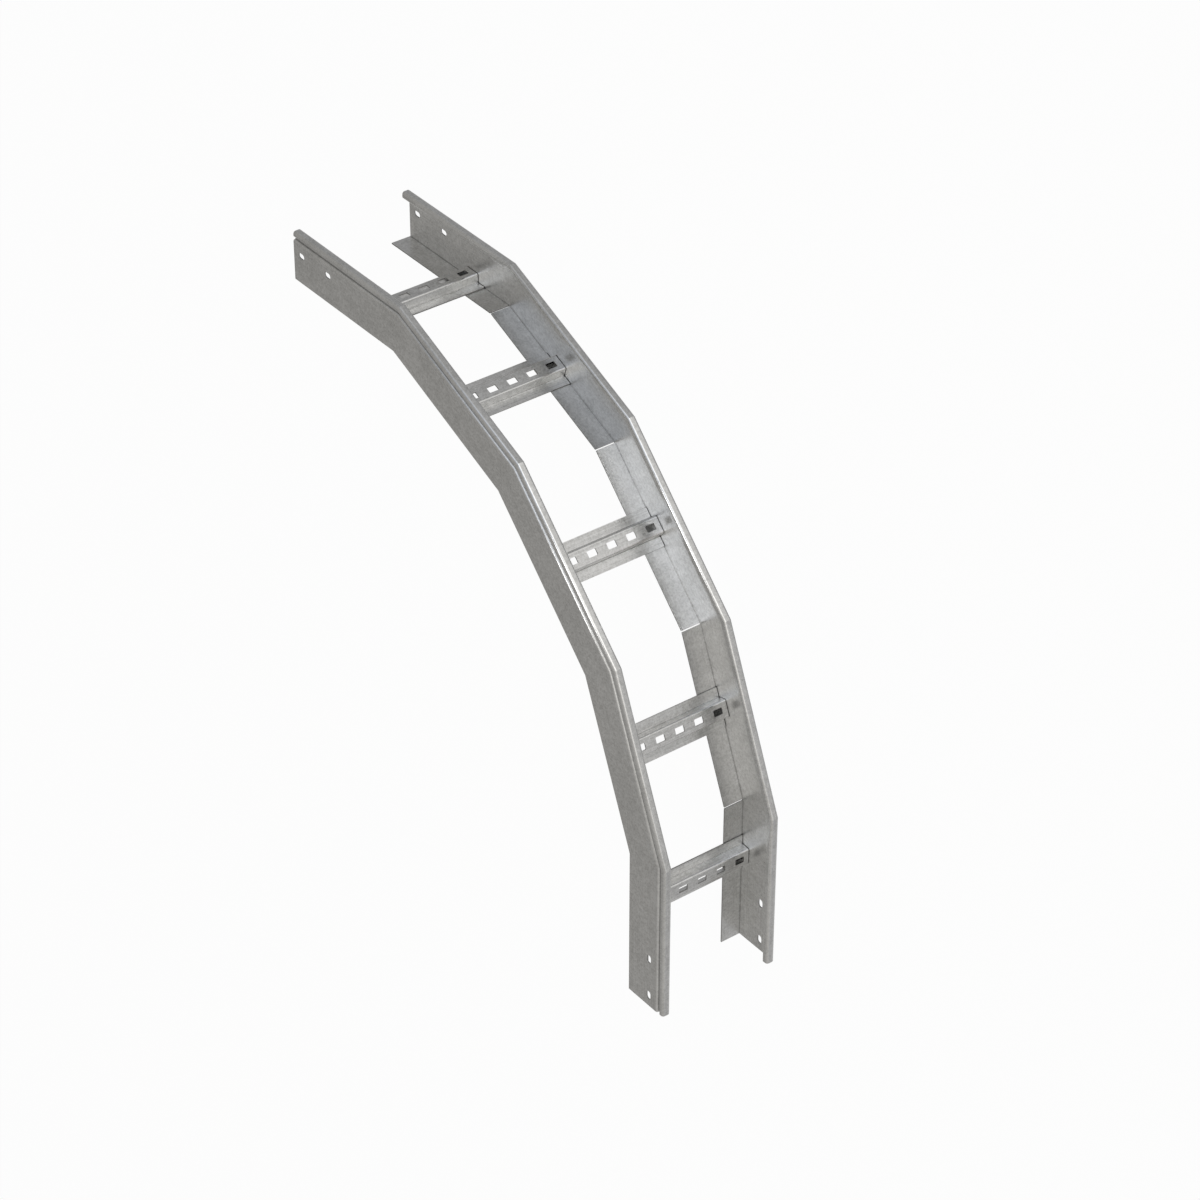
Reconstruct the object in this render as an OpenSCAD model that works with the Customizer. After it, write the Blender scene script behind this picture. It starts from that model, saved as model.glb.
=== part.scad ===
// Outside bend of a cable ladder: two folded side rails joined by slotted rungs.
// The bend lies on the outer face of its lower rail, with Z across the ladder's width.
// X runs along the first leg towards the bend, and the second leg runs along -Y.

/* [Bend] */
// Angle between the two end legs, shared equally by the four corners
bend_angle = 90; // [45:7.5:90]
// Length of each end leg along the rail's lower edge
leg_len = 185; // [150:1:400]
// Length of the facet next to each leg along the rail's lower edge
side_len = 201; // [150:1:400]
// Length of the middle facet along the rail's lower edge
middle_len = 210; // [150:1:400]

/* [Side rails] */
// Clear width between the webs of the two rails
clear_w = 150; // [120:5:600]
// Height of the rails
rail_h = 60; // [55:1:110]
// Sheet thickness of the rails
rail_t = 1.5; // [0.8:0.1:1.6]
// Reach of the foot flange from the web's inner face
foot_w = 25; // [20:1:40]
// Inside radius of the bend between web and foot flange
foot_r = 0.3; // [0.3:0.1:2]
// Width of the slit across the foot flange at each corner
slit_w = 1.5; // [0.5:0.1:4]
// Distance from the foot bend to the start of the slit
slit_setback = 0.2; // [0.2:0.1:2]

/* [Bead along the top of the rails] */
// Reach of the bead from the web's inner face
bead_reach = 9; // [8:0.1:14]
// How far the bead's outer face stands back from the web's outer face
bead_setback = 0.3; // [0:0.1:0.6]
// Depth of the bead's outer face below the rail's top
bead_drop = 5.6; // [5:0.1:7]
// Depth of the bead's inner face below the rail's top
lip_drop = 7.2; // [6:0.1:9]
// Gap between the edge of the turned-back lip and the web
lip_gap = 0.3; // [0.2:0.1:1]
// Depth of the groove between web and bead
groove_d = 4; // [2.5:0.1:4]
// Level of the groove's bottom below the rail's top
groove_drop = 9.4; // [9:0.1:11]
// Rise of the ledge from the web to the groove's bottom
ledge_rise = 1.8; // [1:0.1:3]
// Inside radius of the bead's folds
fold_r = 0.6; // [0.3:0.1:1]
// Inside radius of the bead's two top corners
crown_r = 1.6; // [0.8:0.1:2]

/* [Slots at the rail ends] */
// Length of an end slot along the rail
end_slot_l = 10.5; // [8:0.5:20]
// Width of an end slot
end_slot_w = 6.5; // [5:0.5:9]
// Distance from the rail's end to the first slot's centre
end_slot_inset = 14.5; // [12:0.5:30]
// Distance between the centres of the two slots
end_slot_pitch = 50; // [25:1:80]
// Height of the slots above the rail's lower edge
end_slot_h = 35.5; // [20:0.5:38]

/* [Rungs] */
// Sheet thickness of the rungs
rung_t = 1.5; // [0.8:0.1:1.6]
// Height of a rung above the foot flange that it lies on
rung_h = 12.5; // [8:0.5:20]
// Width of the rung's top plate
rung_top_w = 20.5; // [16:0.5:40]
// Outward lean of each rung wall from top to foot
rung_lean = 0.8; // [0:0.1:4]
// Width of each foot flange of a rung
rung_foot_w = 11.5; // [6:0.5:20]
// Inside radius of the rung's folds
rung_r = 0.6; // [0.3:0.1:1]
// Clearance between a rung's end and the bend at the foot of the web
rung_gap = 0.2; // [0.2:0.1:2]
// Distance from the first rung's centre line to the first corner
first_rung_to_corner = 67.5; // [40:0.5:120]
// Distance from the last corner to the last rung's centre line
last_rung_to_corner = 69.5; // [40:0.5:120]
// How far each middle rung lies before the middle of its facet
rung_offset = 6.5; // [-15:0.5:15]

/* [Slots in the rungs] */
// Distance between the centres of neighbouring slots
rung_slot_pitch = 25.5; // [18:0.5:30]
// Length of a rung slot along the rung
rung_slot_l = 11.5; // [6:0.5:16]
// Width of a rung slot
rung_slot_w = 7.5; // [4:0.5:10]
// Radius of the slot's corners
rung_slot_r = 1; // [0.5:0.1:1.5]
// Least distance from a rung's end to its first slot
rung_slot_edge = 3; // [2:0.5:10]
// How far the row of slots lies off the rung's middle, towards the upper rail
rung_slot_shift = 1.5; // [0:0.1:3]

/* [Hidden] */
// Fineness of the round slot ends
$fn = 48;
// Flats along each round bend of a sheet
bend_steps = 6;
// Overrun of a cutting shape past the sheet that it cuts
over = 1;
// Points along each rounded corner of a rung slot
corner_steps = 6;
// Slope of the lip that the bead turns back to the web
lip_slope = 45;

// Facets along the bend: the two legs, the facets beside them and the middle one
facets = [leg_len, side_len, middle_len, side_len, leg_len];
corners = len(facets) - 1;
corner_angle = bend_angle / corners;
// Heading of a facet, and the point where its lower edge starts
function heading_of(i) = -corner_angle * i;
function along(angle) = [cos(angle), sin(angle)];
function start_of(i) = i == 0 ? [0, 0] : start_of(i - 1) + facets[i - 1] * along(heading_of(i - 1));
// Point at a height above the lower edge, where a facet starts or the last one ends
function edge_point(i, up) =
    let (at_corner = i > 0 && i <= corners)
    let (half_turn = at_corner ? corner_angle / 2 : 0)
    let (facet = min(i, corners))
    start_of(i) + up / cos(half_turn) * along(heading_of(facet) + half_turn + 90);
outline = [for (i = [0 : corners + 1]) for (up = [0, rail_h]) edge_point(i, up)];
outline_x = [for (p = outline) p.x];
outline_y = [for (p = outline) p.y];
// Middle of the bend's outline, which is the part's origin
middle = [min(outline_x) + max(outline_x), min(outline_y) + max(outline_y)] / 2;

// Outer width of the ladder and the length of a rung between the foot bends
ladder_w = clear_w + 2 * rail_t;
rung_end = rail_t + foot_r + rung_gap;
rung_len = ladder_w - 2 * rung_end;
// Stretch of a rung that the row of slots may take up, and as many slots as fit in it
rung_slot_room = rung_len - 2 * (rung_slot_edge + rung_slot_shift);
rung_slots = 1 + floor((rung_slot_room - rung_slot_l) / rung_slot_pitch);

// Centre line of each rung along its facet
rung_at = [
    leg_len - first_rung_to_corner,
    side_len / 2 - rung_offset,
    middle_len / 2 - rung_offset,
    side_len / 2 - rung_offset,
    last_rung_to_corner
];

// Middle line of the rail's sheet as [height, depth from the outer face], from the foot to the lip
bead_out = bead_setback + rail_t / 2;
bead_in = bead_reach + rail_t / 2;
lip_corner = rail_h - lip_drop + rail_t / 2 * tan(lip_slope / 2);
lip_end = rail_t + lip_gap + rail_t / 2 * sin(lip_slope);
rail_path = [
    [rail_t / 2, rail_t + foot_w],
    [rail_t / 2, rail_t / 2],
    [rail_h - groove_drop - ledge_rise, rail_t / 2],
    [rail_h - groove_drop, groove_d + rail_t / 2],
    [rail_h - bead_drop, bead_out],
    [rail_h - rail_t / 2, bead_out],
    [rail_h - rail_t / 2, bead_in],
    [lip_corner, bead_in],
    [lip_corner - (bead_in - lip_end) / tan(lip_slope), lip_end]
];
rail_radii = [0, foot_r, fold_r, fold_r, fold_r, crown_r, crown_r, fold_r, 0];

// Middle line of the rung's sheet as [across the rung, height]
rung_half = rung_top_w / 2 + rung_lean + rung_foot_w;
rung_foot_at = rung_top_w / 2 + rung_lean - rung_t / 2;
rung_top_at = rung_top_w / 2 - rung_t / 2;
rung_path = [
    [-rung_half, rung_t / 2],
    [-rung_foot_at, rung_t / 2],
    [-rung_top_at, rung_h - rung_t / 2],
    [rung_top_at, rung_h - rung_t / 2],
    [rung_foot_at, rung_t / 2],
    [rung_half, rung_t / 2]
];
rung_radii = [0, rung_r, rung_r, rung_r, rung_r, 0];

// Heading of the line between two points, and the turn at a point of a path
function heading(a, b) = atan2(b.y - a.y, b.x - a.x);
function wrapped(angle) = angle > 180 ? angle - 360 : angle <= -180 ? angle + 360 : angle;
function turn_at(path, i) = wrapped(heading(path[i], path[i + 1]) - heading(path[i - 1], path[i]));
// Centre of the round bend at a point of the path
function bend_centre(path, i, r) =
    let (facing = heading(path[i - 1], path[i]))
    let (cut = r * tan(abs(turn_at(path, i)) / 2))
    path[i] - cut * along(facing) + sign(turn_at(path, i)) * r * along(facing + 90);
// Points of one face of a sheet round a bend: side is 1 for the path's left and -1 for its right
function bend_points(path, i, inside_r, t, side) =
    let (angle = turn_at(path, i))
    let (centre = bend_centre(path, i, inside_r + t / 2))
    let (first = heading(path[i - 1], path[i]) - sign(angle) * 90)
    let (r = side == sign(angle) ? inside_r : inside_r + t)
    [for (step = [0 : bend_steps]) centre + r * along(first + angle * step / bend_steps)];
// One face of a sheet that is folded along a path, from edge to edge
function sheet_face(path, radii, t, side) =
    let (last = len(path) - 1)
    let (off = side * t / 2)
    concat(
        [path[0] + off * along(heading(path[0], path[1]) + 90)],
        [for (i = [1 : last - 1]) each bend_points(path, i, radii[i], t, side)],
        [path[last] + off * along(heading(path[last - 1], path[last]) + 90)]
    );
function reversed(list) = [for (i = [len(list) - 1 : -1 : 0]) list[i]];
// Closed section of a folded sheet: up one face and back down the other
function sheet_section(path, radii, t) =
    concat(sheet_face(path, radii, t, 1), reversed(sheet_face(path, radii, t, -1)));

// Places its children in the frame of a facet: X along it, Y up the rail and Z across the ladder
module on_facet(i) {
    translate(start_of(i) - middle) rotate(heading_of(i)) children();
}

// Rail section swept along the facets and mitred at each corner
module swept_rail() {
    section = sheet_section(rail_path, rail_radii, rail_t);
    n = len(section);
    stations = corners + 2;
    points = [
        for (i = [0 : stations - 1]) for (p = section)
            let (at = edge_point(i, p.x) - middle) [at.x, at.y, p.y]
    ];
    sides = [
        for (i = [0 : stations - 2]) for (k = [0 : n - 1])
            let (next = (k + 1) % n) [i * n + k, i * n + next, (i + 1) * n + next, (i + 1) * n + k]
    ];
    // The end faces are strips of four-sided pieces from one face of the sheet to the other
    first_end = [for (k = [0 : n / 2 - 2]) [n - 1 - k, n - 2 - k, k + 1, k]];
    last_end = [for (f = first_end) [for (corner = reversed(f)) corner + (stations - 1) * n]];
    polyhedron(points, concat(sides, first_end, last_end));
}

// Slit across the foot flange at the corner where a facet starts
module corner_slit(i) {
    from = rail_t + foot_r + slit_setback;
    on_facet(i) rotate(corner_angle / 2) translate([-slit_w / 2, -over, from])
        cube([slit_w, rail_t + 2 * over, foot_w + over]);
}

// Slot with round ends through the web, its length along the rail
module end_slot(i, at) {
    flat = end_slot_l - end_slot_w;
    on_facet(i) translate([at, end_slot_h, -over]) {
        for (end = [-1, 1])
            translate([end * flat / 2, 0, 0]) cylinder(d = end_slot_w, h = rail_t + 2 * over);
        translate([-flat / 2, -end_slot_w / 2, 0]) cube([flat, end_slot_w, rail_t + 2 * over]);
    }
}

// Folded side rail with its web's outer face down
module side_rail() {
    difference() {
        swept_rail();
        for (i = [1 : corners]) corner_slit(i);
        for (at = [end_slot_inset, end_slot_inset + end_slot_pitch]) {
            end_slot(0, at);
            end_slot(corners, leg_len - at);
        }
    }
}

// Rung slot: a rectangle with round corners, its length along Y
module rung_slot() {
    polygon([
        for (corner = [0 : 3])
            let (x = corner == 0 || corner == 3 ? 1 : -1)
            let (y = corner < 2 ? 1 : -1)
            for (step = [0 : corner_steps])
                [x * (rung_slot_w / 2 - rung_slot_r), y * (rung_slot_l / 2 - rung_slot_r)]
                + rung_slot_r * along(90 * (corner + step / corner_steps))
    ]);
}

module side_rail_lower() {
    color([0.60, 0.60, 0.59]) side_rail();
}

module side_rail_upper() {
    color([0.60, 0.60, 0.59]) translate([0, 0, ladder_w]) mirror([0, 0, 1]) side_rail();
}

// Hat-shaped rung that lies with its feet on the foot flanges of both rails
module rung(i) {
    color([0.68, 0.68, 0.67]) on_facet(i) translate([rung_at[i], rail_t, rung_end])
        difference() {
            linear_extrude(rung_len) polygon(sheet_section(rung_path, rung_radii, rung_t));
            for (k = [0 : rung_slots - 1]) {
                from_middle = (k - (rung_slots - 1) / 2) * rung_slot_pitch;
                at = rung_len / 2 + rung_slot_shift + from_middle;
                translate([0, rung_h - rung_t - over, at]) rotate([-90, 0, 0])
                    linear_extrude(rung_t + 2 * over) rung_slot();
            }
        }
}

side_rail_lower();
side_rail_upper();
rung(0);  // rung_1
rung(1);  // rung_2
rung(2);  // rung_3
rung(3);  // rung_4
rung(4);  // rung_5
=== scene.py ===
"""Looks of a cable ladder bend in strip galvanised steel.

Every folded strip of the bend is copied from its solid, gets its sheared edges eased and marked as
bare steel, and is dressed with a zinc finish that carries painted shade in its folds and joints and a
painted highlight along its outer folds. A pale floor, a soft sky and one softbox light it.
"""

from __future__ import annotations

import logging
import math
from collections.abc import Iterator
from dataclasses import dataclass
from enum import Enum

import bmesh
import bpy
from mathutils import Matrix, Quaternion, Vector


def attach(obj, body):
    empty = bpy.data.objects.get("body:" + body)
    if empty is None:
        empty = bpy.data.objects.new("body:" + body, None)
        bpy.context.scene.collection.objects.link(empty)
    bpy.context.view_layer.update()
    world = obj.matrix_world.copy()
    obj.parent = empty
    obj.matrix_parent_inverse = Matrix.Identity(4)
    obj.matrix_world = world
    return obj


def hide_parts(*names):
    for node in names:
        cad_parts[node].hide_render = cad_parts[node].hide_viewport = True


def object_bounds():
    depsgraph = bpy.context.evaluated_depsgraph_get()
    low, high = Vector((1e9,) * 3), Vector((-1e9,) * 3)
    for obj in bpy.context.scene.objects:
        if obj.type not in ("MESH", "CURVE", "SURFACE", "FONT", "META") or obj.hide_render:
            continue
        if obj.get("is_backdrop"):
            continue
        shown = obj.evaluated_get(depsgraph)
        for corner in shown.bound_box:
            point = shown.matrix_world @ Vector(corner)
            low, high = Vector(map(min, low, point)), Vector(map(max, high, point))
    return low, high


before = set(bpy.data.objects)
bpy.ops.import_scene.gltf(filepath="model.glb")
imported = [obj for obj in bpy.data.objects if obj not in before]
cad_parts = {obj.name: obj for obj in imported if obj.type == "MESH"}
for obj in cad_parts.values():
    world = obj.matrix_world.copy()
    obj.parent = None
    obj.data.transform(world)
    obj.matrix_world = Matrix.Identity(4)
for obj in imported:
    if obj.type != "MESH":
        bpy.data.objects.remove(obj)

LOG = logging.getLogger("cable_ladder_bend")
BODY = "root"

# Marks and map that a strip's mesh hands to its finish
CUT_MARK = "cut_edge"
RIDGE_MARK = "fold_ridge"
STRIP_MAP = "strip"

Colour = tuple[float, float, float]
Number = float | int
Plane = tuple[Vector, Vector]

WHITE: Colour = (1.0, 1.0, 1.0)
UP = Vector((0.0, 0.0, 1.0))
ALONG_X = Vector((1.0, 0.0, 0.0))

# Middle of a pattern that runs from 0 to 1
MIDDLE = 0.5

# Sockets of a Mix node that mixes colours, which share their names with those for numbers
MIX_SHARE = 0
MIX_FIRST = 6
MIX_SECOND = 7
MIX_RESULT = 2

# Output of a Vector Math node that gives a number
VECTOR_NUMBER = 1


class Slot(Enum):
    """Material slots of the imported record."""

    RAIL = "rail_steel"
    RUNG = "rung_steel"


@dataclass(frozen=True)
class Fractal:
    """Fineness of a fractal noise.

    Attributes:
        scale: Cells in a unit of the coordinates.
        detail: Number of octaves.
        rough: Share of each octave in the next.
    """

    scale: float
    detail: float
    rough: float = 0.5


class Value:
    """Shader socket that takes part in Python arithmetic through Math nodes."""

    def __init__(self, board: NodeBoard, socket: bpy.types.NodeSocket) -> None:
        """Wrap a socket.

        Args:
            board: Board that holds the socket's node.
            socket: Output socket with a single number.
        """
        self.board = board
        self.socket = socket

    def _math(self, operation: str, first: Value | Number, second: Value | Number) -> Value:
        """Add a Math node.

        Args:
            operation: Name of the Math node's operation.
            first: First operand.
            second: Second operand.

        Returns:
            The node's result.
        """
        node = self.board.add("ShaderNodeMath", {"operation": operation}, {0: first, 1: second})
        return self.board.value(node)

    def __add__(self, other: Value | Number) -> Value:
        """Sum of this value and another."""
        return self._math("ADD", self, other)

    def __radd__(self, other: Number) -> Value:
        """Sum of a number and this value."""
        return self._math("ADD", other, self)

    def __sub__(self, other: Value | Number) -> Value:
        """This value less another."""
        return self._math("SUBTRACT", self, other)

    def __rsub__(self, other: Number) -> Value:
        """A number less this value."""
        return self._math("SUBTRACT", other, self)

    def __mul__(self, other: Value | Number) -> Value:
        """Product of this value and another."""
        return self._math("MULTIPLY", self, other)

    def __rmul__(self, other: Number) -> Value:
        """Product of a number and this value."""
        return self._math("MULTIPLY", other, self)

    def __pow__(self, power: Number) -> Value:
        """This value to a power."""
        return self._math("POWER", self, power)

    def larger(self, other: Value | Number) -> Value:
        """The larger of this value and another."""
        return self._math("MAXIMUM", self, other)

    def sway(self, weight: float) -> Value:
        """How far a pattern lies off its middle, times a weight."""
        return weight * (self - MIDDLE)

    def ramp(self, low: float, high: float) -> Value:
        """Smooth step of this value.

        Args:
            low: Value at which the step leaves 0.
            high: Value at which the step reaches 1.

        Returns:
            The step, from 0 to 1.
        """
        settings = {"interpolation_type": "SMOOTHSTEP"}
        sockets = {"Value": self, "From Min": low, "From Max": high, "To Min": 0.0, "To Max": 1.0}
        return self.board.value(self.board.add("ShaderNodeMapRange", settings, sockets))


class NodeBoard:
    """Node tree that gets its nodes from one method."""

    def __init__(self, tree: bpy.types.NodeTree) -> None:
        """Empty a tree.

        Args:
            tree: Node tree of a material or a world.
        """
        self.tree = tree
        tree.nodes.clear()

    def add(
        self,
        kind: str,
        settings: dict[str, object] | None = None,
        sockets: dict[str | int, object] | None = None,
    ) -> bpy.types.Node:
        """Add a node.

        Args:
            kind: Type name of the node.
            settings: Node properties, which are set first.
            sockets: Input values or links by socket name or number.

        Returns:
            The new node.
        """
        node = self.tree.nodes.new(kind)
        for name, setting in (settings or {}).items():
            setattr(node, name, setting)
        for key, given in (sockets or {}).items():
            source = given.socket if isinstance(given, Value) else given
            if isinstance(source, bpy.types.NodeSocket):
                self.tree.links.new(source, node.inputs[key])
            else:
                node.inputs[key].default_value = source
        return node

    def value(self, node: bpy.types.Node, output: str | int = 0) -> Value:
        """Wrap one of a node's outputs for arithmetic."""
        return Value(self, node.outputs[output])

    def mark(self, name: str) -> Value:
        """Read a mark that the mesh carries."""
        return self.value(self.add("ShaderNodeAttribute", {"attribute_name": name}), "Fac")

    def dot(self, at: bpy.types.NodeSocket, way: Vector) -> Value:
        """Length of a vector along a direction.

        Args:
            at: Socket of the vector.
            way: The direction.

        Returns:
            The dot product.
        """
        node = self.add("ShaderNodeVectorMath", {"operation": "DOT_PRODUCT"}, {0: at, 1: way})
        return self.value(node, VECTOR_NUMBER)

    def noise(self, at: bpy.types.NodeSocket, fractal: Fractal) -> bpy.types.Node:
        """Add a fractal noise.

        Args:
            at: Coordinates of the noise.
            fractal: Fineness of the noise.

        Returns:
            The noise node.
        """
        sockets = {
            "Vector": at,
            "Scale": fractal.scale,
            "Detail": fractal.detail,
            "Roughness": fractal.rough,
        }
        return self.add("ShaderNodeTexNoise", {"noise_dimensions": "3D"}, sockets)

    def mix(
        self, share: Value, first: Colour | bpy.types.NodeSocket, second: Colour
    ) -> bpy.types.NodeSocket:
        """Mix two colours.

        Args:
            share: Share of the second colour.
            first: Colour where the share is 0, or a socket.
            second: Colour where the share is 1.

        Returns:
            Socket of the mixed colour.
        """
        start = (*first, 1.0) if isinstance(first, tuple) else first
        settings = {"data_type": "RGBA", "clamp_factor": True}
        sockets = {MIX_SHARE: share, MIX_FIRST: start, MIX_SECOND: (*second, 1.0)}
        return self.add("ShaderNodeMix", settings, sockets).outputs[MIX_RESULT]

    def cover(self, share: Value, under: bpy.types.Node, over: bpy.types.Node) -> bpy.types.Node:
        """Mix two shaders.

        Args:
            share: Share of the upper shader.
            under: Shader where the share is 0.
            over: Shader where the share is 1.

        Returns:
            The node that mixes them.
        """
        sockets = {0: share, 1: under.outputs[0], 2: over.outputs[0]}
        return self.add("ShaderNodeMixShader", None, sockets)


@dataclass(frozen=True)
class HollowPaintedShade:
    """Painted shade in the hollows, where little of the surroundings is mirrored.

    Attributes:
        reach: How far a hollow's walls are felt, in metres.
        closed_at: Openness up to which the painted shade is full.
        open_at: Openness from which there is no painted shade.
        depth: Share of the painted shade colour at full shade.
        own: Whether only the strip itself closes a hollow, or its neighbours too.
        samples: Rays that feel for the walls.
    """

    reach: float
    closed_at: float
    open_at: float
    depth: float
    own: bool
    samples: int = 16

    def shade(self, board: NodeBoard) -> Value:
        """Feel for the hollows, which get painted shade.

        Args:
            board: Board of the material.

        Returns:
            Share of the painted shade colour: 0 on a flat face.
        """
        settings = {"samples": self.samples, "only_local": self.own}
        felt = board.add("ShaderNodeAmbientOcclusion", settings, {"Distance": self.reach})
        return self.depth * (1 - board.value(felt, "AO").ramp(self.closed_at, self.open_at))


@dataclass(frozen=True)
class ZincFinish:
    """Strip galvanised steel: satin zinc with a fine spangle, and bare steel where it was sheared.

    Attributes:
        name: Name of the material.
        bright, dull: Colours between which the zinc's tone moves.
        bare: Colour of the sheared steel.
        painted_shade_colour: Colour of the painted shade in folds and joints.
        spangle: Width of a zinc crystal, in metres.
        feather: How far a crystal's border wanders, in metres.
        feathering: Noise along which the borders wander.
        grain, cloud: Fine and broad mottling.
        rolling: Noise of the rolling marks, once they are drawn out.
        drawn: Cells of the rolling marks in a metre along and across the strip.
        crystal_tone, grain_tone, cloud_tone, streak_tone, painted_fold_light_tone: Weights in the tone, the
        last for a painted highlight and painted shade on the folds.
        roughness, bare_roughness, ridge_roughness: Roughness of the sheet, its cuts and its folds.
        crystal_satin, grain_satin, cloud_satin: Weights in the sheet's roughness.
        relief: Height of the spangle, in metres.
        relief_strength: Strength of that relief.
        crystal_share: Share of the crystals in the relief, the rest being grain.
        fold, joint: Painted shade in the strip's own folds, and where it meets its neighbours.
    """

    name: str
    bright: Colour = (0.95, 0.95, 0.945)
    dull: Colour = (0.67, 0.67, 0.66)
    bare: Colour = (0.42, 0.415, 0.405)
    painted_shade_colour: Colour = (0.13, 0.13, 0.13)
    spangle: float = 0.0045
    feather: float = 0.0016
    feathering: Fractal = Fractal(scale=218.75, detail=3.0, rough=0.6)
    grain: Fractal = Fractal(scale=420.0, detail=4.0, rough=0.65)
    cloud: Fractal = Fractal(scale=16.0, detail=4.0)
    rolling: Fractal = Fractal(scale=1.0, detail=2.0)
    drawn: tuple[float, float] = (5.0, 650.0)
    crystal_tone: float = 0.35
    grain_tone: float = 2.4
    cloud_tone: float = 1.0
    streak_tone: float = 0.7
    painted_fold_light_tone: float = 0.3
    roughness: float = 0.3
    bare_roughness: float = 0.45
    ridge_roughness: float = 0.16
    crystal_satin: float = 0.03
    grain_satin: float = 0.06
    cloud_satin: float = 0.05
    relief: float = 0.00012
    relief_strength: float = 0.05
    crystal_share: float = 0.5
    fold: HollowPaintedShade = HollowPaintedShade(reach=0.0034, closed_at=0.48, open_at=0.72, depth=0.68, own=True)
    joint: HollowPaintedShade = HollowPaintedShade(reach=0.0022, closed_at=0.42, open_at=0.74, depth=0.85, own=False)

    def material(self) -> bpy.types.Material:
        """Make the material.

        Returns:
            Material with a zinc skin on the sheet and bare steel on its cut edges, with painted shade in
            folds and joints and a painted highlight on outer folds.
        """
        made = bpy.data.materials.new(self.name)
        made.use_nodes = True
        board = NodeBoard(made.node_tree)
        at = board.add("ShaderNodeTexCoord").outputs["Object"]
        crystal = self._crystals(board, at)
        grain = board.value(board.noise(at, self.grain))
        cloud = board.value(board.noise(at, self.cloud))
        streak = self._streaks(board)
        cut = board.mark(CUT_MARK)
        fold_burnish_and_painted_light = board.mark(RIDGE_MARK)

        mottle = crystal.sway(self.crystal_tone) + grain.sway(self.grain_tone) + cloud.sway(self.cloud_tone)
        # Painted highlight on the outer sides of folds and painted shade on their inner sides, from the
        # fold mark.
        tone = MIDDLE + mottle + streak.sway(self.streak_tone) + self.painted_fold_light_tone * fold_burnish_and_painted_light
        zinc = board.mix(tone, self.dull, self.bright)
        sheet = board.mix(cut, zinc, self.bare)
        # Painted shade: the colour darkens in the strip's own folds and where it meets its neighbours.
        shade = self.fold.shade(board).larger(self.joint.shade(board))
        colour = board.mix(shade, sheet, self.painted_shade_colour)

        satin = self.roughness + crystal.sway(self.crystal_satin) + grain.sway(self.grain_satin)
        satin = satin + cloud.sway(self.cloud_satin)
        sheared = cut * (self.bare_roughness - self.roughness)
        burnished = fold_burnish_and_painted_light * fold_burnish_and_painted_light * (self.ridge_roughness - self.roughness)
        height = crystal * self.crystal_share + grain * (1 - self.crystal_share)
        sockets = {"Strength": self.relief_strength, "Distance": self.relief, "Height": height}
        bump = board.add("ShaderNodeBump", None, sockets)

        sockets = {
            "Base Color": colour,
            "Metallic": 1.0,
            "Roughness": satin + sheared + burnished,
            "Normal": bump.outputs["Normal"],
        }
        skin = board.add("ShaderNodeBsdfPrincipled", None, sockets)
        board.add("ShaderNodeOutputMaterial", None, {"Surface": skin.outputs[0]})
        return made

    def _crystals(self, board: NodeBoard, at: bpy.types.NodeSocket) -> Value:
        """Tone of the zinc crystals.

        Args:
            board: Board of the material.
            at: Object coordinates.

        Returns:
            One random tone for each crystal, with feathered borders.
        """
        wander = board.noise(at, self.feathering)
        # The noise runs from 0 to 1, so a border wanders by the feather to either side
        reach = (2 * self.feather,) * 3
        sockets = {0: wander.outputs["Color"], 1: reach, 2: at}
        feathered = board.add("ShaderNodeVectorMath", {"operation": "MULTIPLY_ADD"}, sockets)
        sockets = {"Vector": feathered.outputs[0], "Scale": 1 / self.spangle}
        cells = board.add("ShaderNodeTexVoronoi", {"feature": "F1"}, sockets)
        return board.value(board.add("ShaderNodeSeparateColor", None, {"Color": cells.outputs["Color"]}))

    def _streaks(self, board: NodeBoard) -> Value:
        """Rolling marks along the strip.

        Args:
            board: Board of the material.

        Returns:
            Tone of the marks.
        """
        along = board.add("ShaderNodeUVMap", {"uv_map": STRIP_MAP}).outputs[0]
        sockets = {"Vector": along, "Scale": (*self.drawn, 1.0)}
        drawn = board.add("ShaderNodeMapping", None, sockets)
        return board.value(board.noise(drawn.outputs[0], self.rolling))


@dataclass(frozen=True)
class BendPath:
    """Lower edge of the rails, from the free end of the first leg to that of the second.

    Attributes:
        leg, side, middle: Lengths of an end leg, the facet next to it and the middle facet.
        rail_height: Height of the rails above the edge.
        turn: Angle between the two legs.
    """

    leg: float = 0.185
    side: float = 0.201
    middle: float = 0.210
    rail_height: float = 0.060
    turn: float = math.radians(90.0)

    def facets(self) -> list[float]:
        """Lengths of the facets in order."""
        return [self.leg, self.side, self.middle, self.side, self.leg]

    def mitres(self, low: Vector, high: Vector) -> Iterator[Plane]:
        """Planes in which the facets meet.

        Args:
            low: Lowest corner of the bend's box.
            high: Highest corner of the bend's box.

        Yields:
            A point of each plane and its direction along the path.
        """
        lengths = self.facets()
        corner = self.turn / (len(lengths) - 1)
        point = Vector((low.x, high.y - self.rail_height, 0.0))
        for number, length in enumerate(lengths[:-1]):
            heading = -corner * number
            point = point + length * Vector((math.cos(heading), math.sin(heading), 0.0))
            halfway = heading - corner / 2
            yield point, Vector((math.cos(halfway), math.sin(halfway), 0.0))


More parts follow.
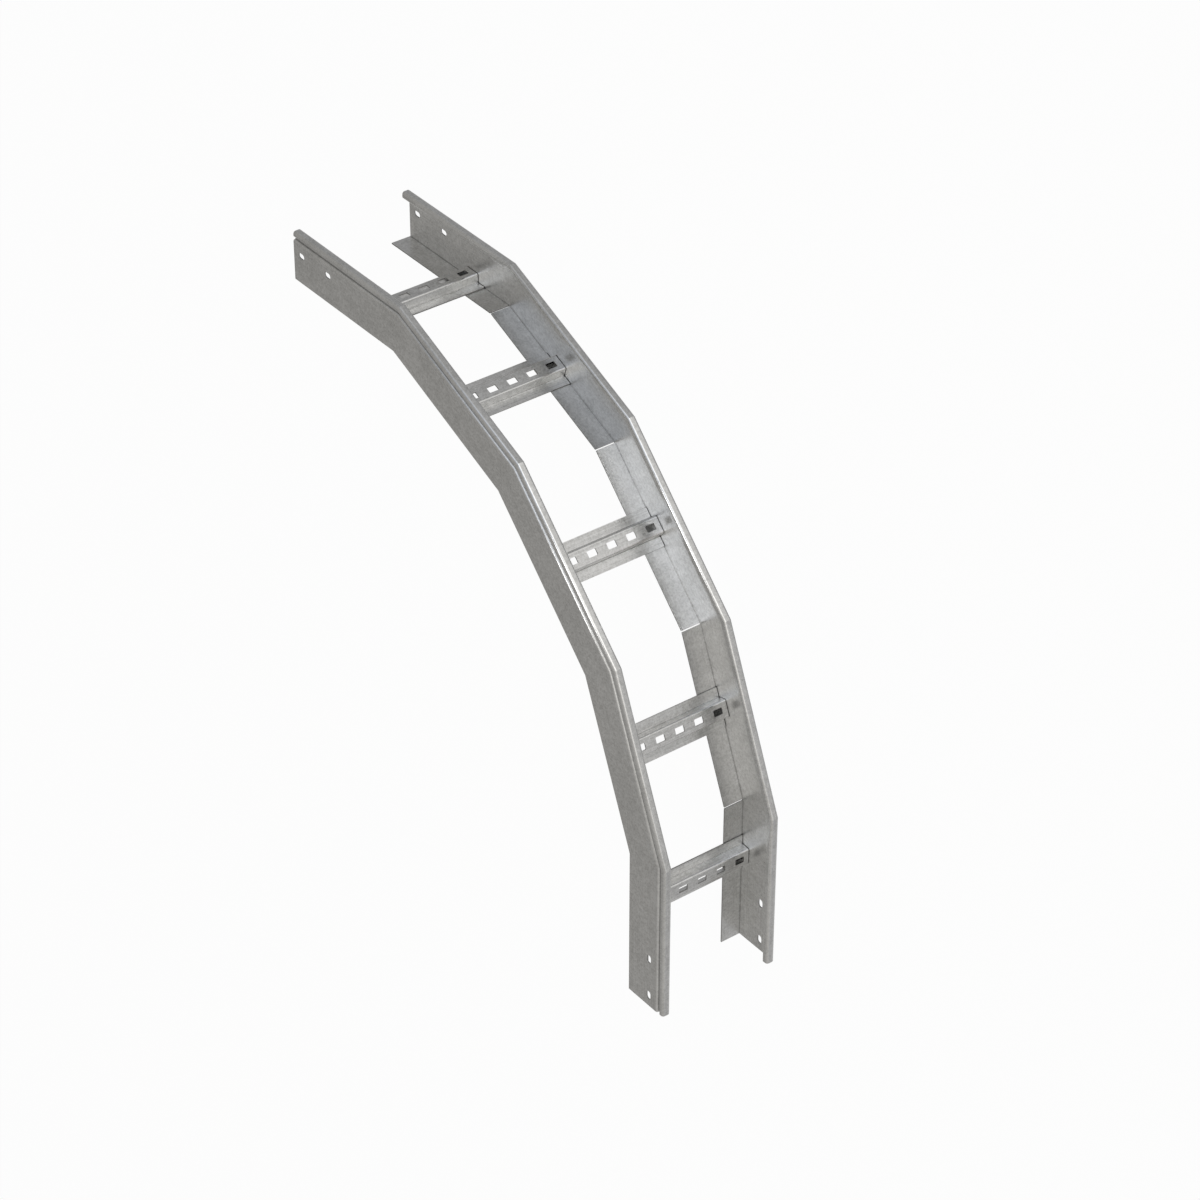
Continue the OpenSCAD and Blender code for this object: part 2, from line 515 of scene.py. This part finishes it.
@dataclass
class FoldedStrip:
    """One folded steel strip, shaped by its solid and finished with eased edges.

    Attributes:
        node: Name of the solid.
        name: Name of the piece.
        slot: Material slot of the piece.
        deburr, deburr_steps: Width of the eased edges, and faces across them.
        weld: Distance within which points of the solid are one.
        flat: Angle under which faces of the solid are one.
        sheared: Angle from which an edge is a sheared one, and not a fold.
        crease: Angle from which an edge stays sharp.
        skins: Number of the sheet's skins.
        ridge_width, ridge_turn: Greatest width and least turn of a face in a fold.
    """

    node: str
    name: str
    slot: Slot
    deburr: float = 0.00018
    deburr_steps: int = 2
    weld: float = 2e-6
    flat: float = math.radians(0.4)
    sheared: float = math.radians(50.0)
    crease: float = math.radians(20.0)
    skins: int = 2
    ridge_width: float = 0.0012
    ridge_turn: float = math.radians(10.0)

    def build(self, planes: list[Plane]) -> bpy.types.Object:
        """Make the strip's mesh.

        Args:
            planes: Planes that part the strip into facets, as points and directions.

        Returns:
            The new piece, in the place of its solid.
        """
        shape = bmesh.new()
        shape.from_mesh(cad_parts[self.node].data)
        bmesh.ops.remove_doubles(shape, verts=shape.verts, dist=self.weld)
        bmesh.ops.dissolve_limit(shape, angle_limit=self.flat, verts=shape.verts, edges=shape.edges)
        for point, way in planes:
            geometry = [*shape.verts, *shape.edges, *shape.faces]
            bmesh.ops.bisect_plane(shape, geom=geometry, dist=self.weld, plane_co=point, plane_no=way)
        self._mark_cuts(shape)
        self._mark_ridges(shape)
        self._ease_edges(shape)
        self._lay_strip_map(shape)
        mesh = bpy.data.meshes.new(self.name)
        shape.to_mesh(mesh)
        shape.free()
        piece = bpy.data.objects.new(self.name, mesh)
        bpy.context.scene.collection.objects.link(piece)
        weighted = piece.modifiers.new("flat_faces_lead", "WEIGHTED_NORMAL")
        weighted.keep_sharp = True
        return piece

    def dress(self, piece: bpy.types.Object, material: bpy.types.Material) -> None:
        """Give the piece its finish and its place in the frame.

        Args:
            piece: The strip's object.
            material: Finish of the strip.
        """
        piece.data.materials.clear()
        piece.data.materials.append(material)
        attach(piece, BODY)
        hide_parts(self.node)

    def _mark_cuts(self, shape: bmesh.types.BMesh) -> None:
        """Mark the sheared faces: all but the two skins of the sheet.

        Args:
            shape: The strip's mesh.
        """
        mark = shape.faces.layers.float.new(CUT_MARK)
        regions = self._regions(shape)
        regions.sort(key=lambda region: -sum(face.calc_area() for face in region))
        for region in regions[self.skins :]:
            for face in region:
                face[mark] = 1.0

    def _mark_ridges(self, shape: bmesh.types.BMesh) -> None:
        """Mark the folds, which the rolls have burnished: 1 on their outer sides, -1 on the inner ones,
        which the finish turns into a painted highlight and painted shade.

        Args:
            shape: The strip's mesh.
        """
        mark = shape.faces.layers.float.new(RIDGE_MARK)
        cut = shape.faces.layers.float[CUT_MARK]
        for face in shape.faces:
            turns = [edge.calc_face_angle_signed(0.0) for edge in face.edges]
            fold = sum(turn for turn in turns if abs(turn) < self.sheared)
            # A long face is as wide as twice its area over its perimeter
            narrow = 2 * face.calc_area() < self.ridge_width * face.calc_perimeter()
            if narrow and not face[cut] and abs(fold) > self.ridge_turn:
                face[mark] = math.copysign(1.0, fold)

    def _regions(self, shape: bmesh.types.BMesh) -> list[set[bmesh.types.BMFace]]:
        """Part the mesh at its sheared edges.

        Args:
            shape: The strip's mesh.

        Returns:
            Groups of faces that meet in folds only.
        """
        regions = []
        left = set(shape.faces)
        while left:
            region = {left.pop()}
            border = list(region)
            while border:
                face = border.pop()
                for edge in face.edges:
                    if edge.calc_face_angle(math.pi) < self.sheared:
                        grown = [other for other in edge.link_faces if other in left]
                        left.difference_update(grown)
                        region.update(grown)
                        border.extend(grown)
            regions.append(region)
        return regions

    def _ease_edges(self, shape: bmesh.types.BMesh) -> None:
        """Round the sheared edges, and keep the creases between facets sharp.

        Args:
            shape: The strip's mesh.
        """
        edges = [edge for edge in shape.edges if edge.calc_face_angle(0.0) >= self.sheared]
        made = bmesh.ops.bevel(
            shape,
            geom=edges,
            offset=self.deburr,
            offset_type="OFFSET",
            affect="EDGES",
            segments=self.deburr_steps,
            profile=0.5,
            material=-1,
            clamp_overlap=True,
        )
        eased = set(made["faces"])
        for face in shape.faces:
            face.smooth = True
        for edge in shape.edges:
            creased = edge.calc_face_angle(0.0) > self.crease
            edge.smooth = not creased or not eased.isdisjoint(edge.link_faces)

    def _lay_strip_map(self, shape: bmesh.types.BMesh) -> None:
        """Give each face a map along its longest edge, in metres.

        Args:
            shape: The strip's mesh.
        """
        layer = shape.loops.layers.uv.new(STRIP_MAP)
        for face in shape.faces:
            longest = max(face.edges, key=lambda edge: edge.calc_length())
            along = (longest.verts[1].co - longest.verts[0].co).normalized()
            across = face.normal.cross(along)
            for loop in face.loops:
                loop[layer].uv = (loop.vert.co.dot(along), loop.vert.co.dot(across))


@dataclass
class Ladder:
    """The whole bend: two side rails and the rungs between them.

    Attributes:
        path: Lower edge of the rails.
        rail_finish, rung_finish: Finishes of the rails and of the rungs.
        rung_count: Number of rungs.
    """

    path: BendPath
    rail_finish: ZincFinish
    rung_finish: ZincFinish
    rung_count: int = 5

    def strips(self) -> list[FoldedStrip]:
        """List the strips.

        Returns:
            The rails and then the rungs, in the order in which they are made.
        """
        made = [FoldedStrip(f"side_rail_{side}", f"rail_{side}", Slot.RAIL) for side in ("lower", "upper")]
        for number in range(1, self.rung_count + 1):
            made.append(FoldedStrip(f"rung_{number}", f"rung_strip_{number}", Slot.RUNG))
        return made

    def build(self, low: Vector, high: Vector) -> list[bpy.types.Object]:
        """Make and dress every strip.

        Args:
            low: Lowest corner of the bend's box.
            high: Highest corner of the bend's box.

        Returns:
            The finished pieces.
        """
        planes = list(self.path.mitres(low, high))
        finishes = {Slot.RAIL: self.rail_finish.material(), Slot.RUNG: self.rung_finish.material()}
        pieces = []
        for strip in self.strips():
            piece = strip.build(planes if strip.slot is Slot.RAIL else [])
            strip.dress(piece, finishes[strip.slot])
            pieces.append(piece)
        return pieces


@dataclass
class Studio:
    """Pale floor, soft sky, softbox and camera.

    Attributes:
        floor_half: Half the floor's width.
        floor_white: Share of plain white in the floor that the camera sees.
        floor_albedo: Colour of the floor's paint, which takes the shadow.
        mirrored_floor: Share of white in the floor that the metal mirrors.
        mirrored_white: Strength of the white sky that the metal mirrors.
        horizon: Half the height of the blend at the horizon.
        front_azimuth: Where the sky is brightest.
        sky_front, sky_focus: Strength and focus of the light from there.
        front_below: Share of that light which is left under the horizon.
        sky_back, back_focus: Strength and focus of the light from under the horizon behind the bend.
        sky_slope, slope_below: Rise of the light along X, and how much steeper it is under the horizon.
        warm, cool: Tints of the light.
        cool_azimuth, cool_elevation: Where the light is coolest.
        cool_from, cool_full: Cosines of the angles at which the cool tint starts and is full.
        box_azimuth, box_elevation, box_distance: Place of the softbox.
        box_size, box_power: Width and power of the softbox.
        camera_at, camera_aim, camera_roll: Place of the camera, where it looks and its turn.
        lens, sensor: Focal length and sensor width in millimetres.
    """

    floor_half: float = 15.0
    floor_white: float = 0.965
    floor_albedo: Colour = (0.85, 0.85, 0.85)
    mirrored_floor: float = 0.3
    mirrored_white: float = 0.34
    horizon: float = 0.02
    front_azimuth: float = math.radians(47.5)
    sky_front: float = 0.97
    sky_focus: float = 4.0
    front_below: float = 0.78
    sky_back: float = 0.9
    back_focus: float = 1.5
    sky_slope: float = 0.075
    slope_below: float = 2.4
    warm: Colour = (1.02, 1.0, 0.962)
    cool: Colour = (0.94, 0.985, 1.06)
    cool_azimuth: float = math.radians(80.0)
    cool_elevation: float = math.radians(30.0)
    cool_from: float = 0.72
    cool_full: float = 0.98
    box_azimuth: float = math.radians(45.0)
    box_elevation: float = math.radians(60.0)
    box_distance: float = 2.4
    box_size: float = 0.6
    box_power: float = 4.0
    camera_at: Vector = Vector((2.79292, 2.44747, 2.10677))
    camera_aim: Vector = Vector((0.11732, 0.06307, 0.07697))
    camera_roll: float = math.radians(-113.64)
    lens: float = 118.0
    sensor: float = 36.0

    def build(self) -> None:
        """Make the whole studio."""
        self.lay_floor()
        self.make_sky()
        self.hang_softbox()
        self.set_camera()
        bpy.context.scene.view_settings.view_transform = "Standard"

    @staticmethod
    def direction(azimuth: float, elevation: float = 0.0) -> Vector:
        """Unit vector at an azimuth from X and an elevation from the floor."""
        flat = math.cos(elevation)
        return Vector((flat * math.cos(azimuth), flat * math.sin(azimuth), math.sin(elevation)))

    def lay_floor(self) -> None:
        """Lay the floor."""
        shape = bmesh.new()
        bmesh.ops.create_grid(shape, x_segments=1, y_segments=1, size=self.floor_half)
        mesh = bpy.data.meshes.new("floor")
        shape.to_mesh(mesh)
        shape.free()
        floor = bpy.data.objects.new("floor", mesh)
        bpy.context.scene.collection.objects.link(floor)
        mesh.materials.append(self._floor_paint())
        floor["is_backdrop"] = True

    def _floor_paint(self) -> bpy.types.Material:
        """Make the floor's material.

        Returns:
            Paint that is white to the camera but keeps the shadow, and a veil of white to the metal.
        """
        made = bpy.data.materials.new("pale_floor")
        made.use_nodes = True
        board = NodeBoard(made.node_tree)
        ray = board.add("ShaderNodeLightPath")
        camera = board.value(ray, "Is Camera Ray")
        mirrored = board.value(ray, "Is Glossy Ray").larger(board.value(ray, "Is Transmission Ray"))
        paint = board.add("ShaderNodeBsdfDiffuse", None, {"Color": (*self.floor_albedo, 1.0)})
        glow = board.add("ShaderNodeEmission", None, {"Color": (*WHITE, 1.0), "Strength": 1.0})
        clear = board.add("ShaderNodeBsdfTransparent")
        white = camera * self.floor_white + mirrored * self.mirrored_floor
        surface = board.cover(white, board.cover(mirrored, paint, clear), glow)
        board.add("ShaderNodeOutputMaterial", None, {"Surface": surface.outputs[0]})
        return made

    def make_sky(self) -> None:
        """Make surroundings that are white to the camera, and dimmer to the metal but bright in front."""
        world = bpy.data.worlds.new("studio")
        world.use_nodes = True
        bpy.context.scene.world = world
        board = NodeBoard(world.node_tree)
        way = board.add("ShaderNodeTexCoord").outputs["Generated"]
        camera = board.value(board.add("ShaderNodeLightPath"), "Is Camera Ray")
        above = board.dot(way, UP).ramp(-self.horizon, self.horizon)
        ahead = self.direction(self.front_azimuth)
        facing = board.dot(way, ahead).larger(0.0)
        away = board.dot(way, -ahead).larger(0.0)
        tilt = self.sky_slope * (self.slope_below + (1 - self.slope_below) * above)
        side = tilt * board.dot(way, ALONG_X)
        lit = self.front_below + (1 - self.front_below) * above
        front = self.sky_front * facing**self.sky_focus * lit
        back = self.sky_back * away**self.back_focus * (1 - above)
        soft = self.mirrored_white * above + side + front + back
        coolest = self.direction(self.cool_azimuth, self.cool_elevation)
        coolness = board.dot(way, coolest).ramp(self.cool_from, self.cool_full)
        colour = board.mix(camera, board.mix(coolness, self.warm, self.cool), WHITE)
        strength = camera + (1 - camera) * soft.larger(0.0)
        sky = board.add("ShaderNodeBackground", None, {"Color": colour, "Strength": strength})
        board.add("ShaderNodeOutputWorld", None, {"Surface": sky.outputs[0]})

    def hang_softbox(self) -> None:
        """Hang the softbox high in front of the bend, out of the camera's sight."""
        lamp = bpy.data.lights.new("softbox", "AREA")
        lamp.size = self.box_size
        lamp.energy = self.box_power
        softbox = bpy.data.objects.new("softbox", lamp)
        bpy.context.scene.collection.objects.link(softbox)
        above = self.direction(self.box_azimuth, self.box_elevation)
        softbox.location = above * self.box_distance
        softbox.rotation_mode = "QUATERNION"
        softbox.rotation_quaternion = (-above).to_track_quat("-Z", "Y")
        softbox.visible_camera = False

    def set_camera(self) -> None:
        """Set the camera at the photograph's viewing angle."""
        eye = bpy.data.cameras.new("camera")
        eye.lens = self.lens
        eye.sensor_width = self.sensor
        eye.sensor_fit = "AUTO"
        camera = bpy.data.objects.new("camera", eye)
        bpy.context.scene.collection.objects.link(camera)
        camera.location = self.camera_at
        camera.rotation_mode = "QUATERNION"
        facing = (self.camera_aim - self.camera_at).to_track_quat("-Z", "Y")
        camera.rotation_quaternion = facing @ Quaternion(UP, self.camera_roll)
        bpy.context.scene.camera = camera


def main() -> None:
    """Build the studio and the ladder, and report each piece."""
    logging.basicConfig(level=logging.INFO, format="%(name)s: %(message)s")
    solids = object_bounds()
    Studio().build()
    ladder = Ladder(BendPath(), ZincFinish("rail_zinc"), ZincFinish("rung_zinc", streak_tone=1.6))
    for piece in ladder.build(*solids):
        LOG.info("%s: %d faces", piece.name, len(piece.data.polygons))


if __name__ == "__main__":
    main()
